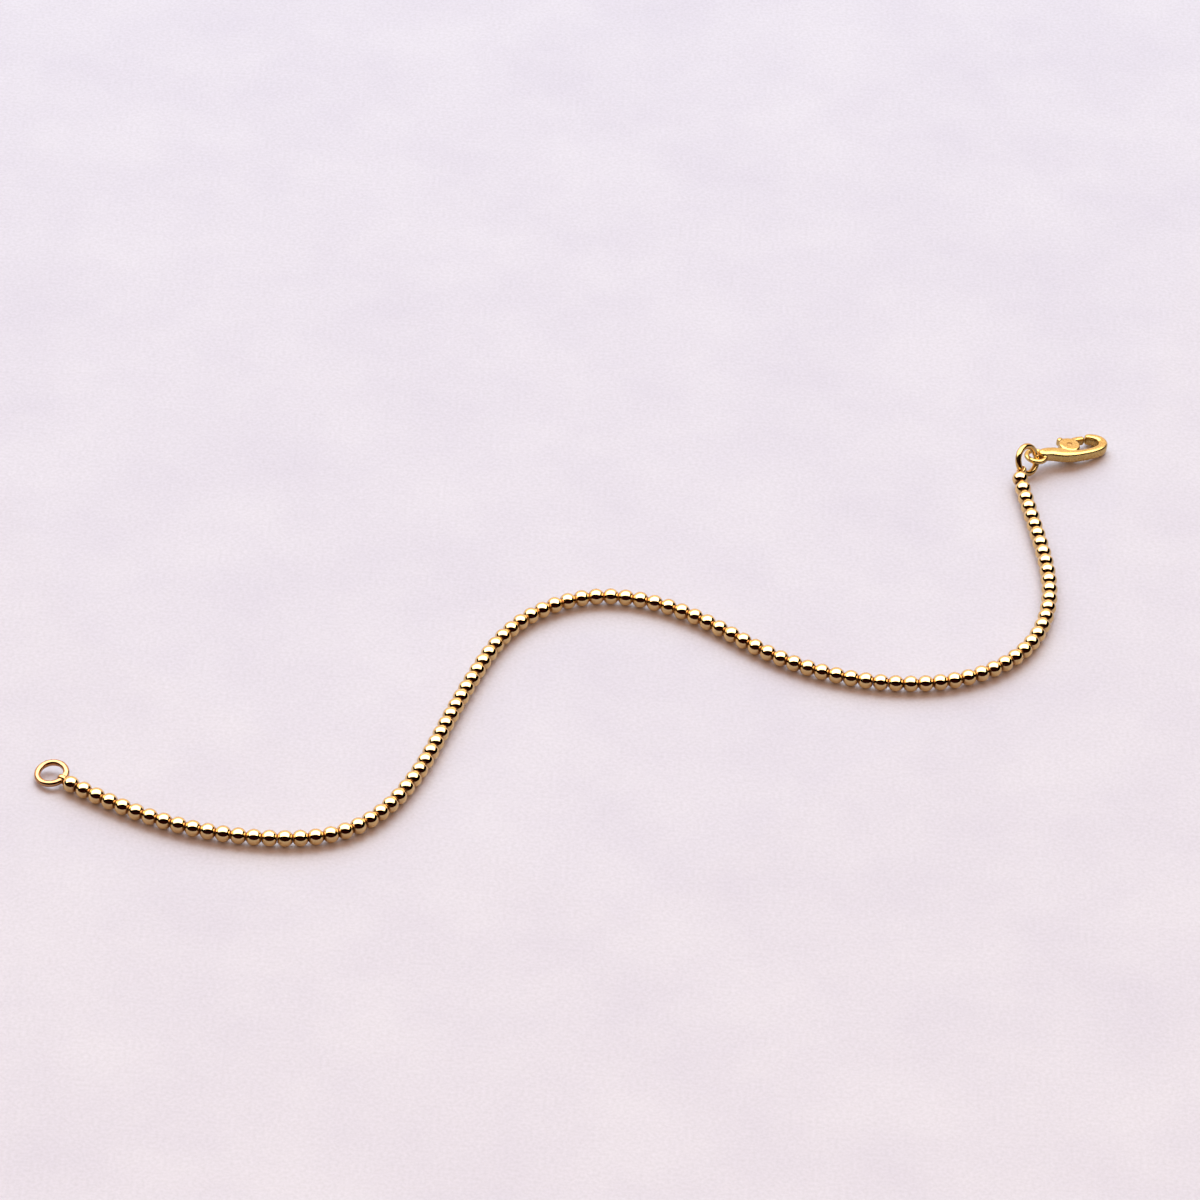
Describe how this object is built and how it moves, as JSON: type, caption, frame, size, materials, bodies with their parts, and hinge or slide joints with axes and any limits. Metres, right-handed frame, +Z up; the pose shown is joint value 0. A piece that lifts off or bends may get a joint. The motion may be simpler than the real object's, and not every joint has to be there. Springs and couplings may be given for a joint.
{
  "type": "ball chain bracelet",
  "caption": "Bracelet of round beads in a string, with a wire end ring, a jump ring and a sprung lobster clasp, laid open in an S curve.",
  "frame": {"origin": "middle of the laid bracelet's box, on the surface that it lies on", "axes": "+X to the right along the S, towards the clasp; +Y away from the viewer; +Z up from the surface"},
  "size_m": [0.1184, 0.0814, 0.0038],
  "materials": {
    "polished_bead_gold": "mirror-polished light yellow gold plating",
    "drawn_wire_gold": "polished drawn wire",
    "jump_ring_gold": "polished drawn wire",
    "cast_clasp_gold": "tumble-polished casting",
    "lever_gold": "tumble-polished casting",
    "rivet_gold": "dressed rivet head"
  },
  "bodies": {
    "bracelet": {"bead_chain": "polished_bead_gold", "end_ring": "drawn_wire_gold", "jump_ring": "jump_ring_gold", "clasp_body": "cast_clasp_gold", "clasp_rivet": "rivet_gold"},
    "lever": {"clasp_lever": "lever_gold"}
  },
  "joints": [
    {"name": "clasp_lever_pivot", "type": "hinge", "parent": "bracelet", "child": "lever", "pos_m": [0.05464, 0.03772, 0.00118], "axis": [-0.0995, -0.0574, -0.9934], "range_deg": [0, 20], "stiffness_Nm_per_rad": 0.005}
  ]
}
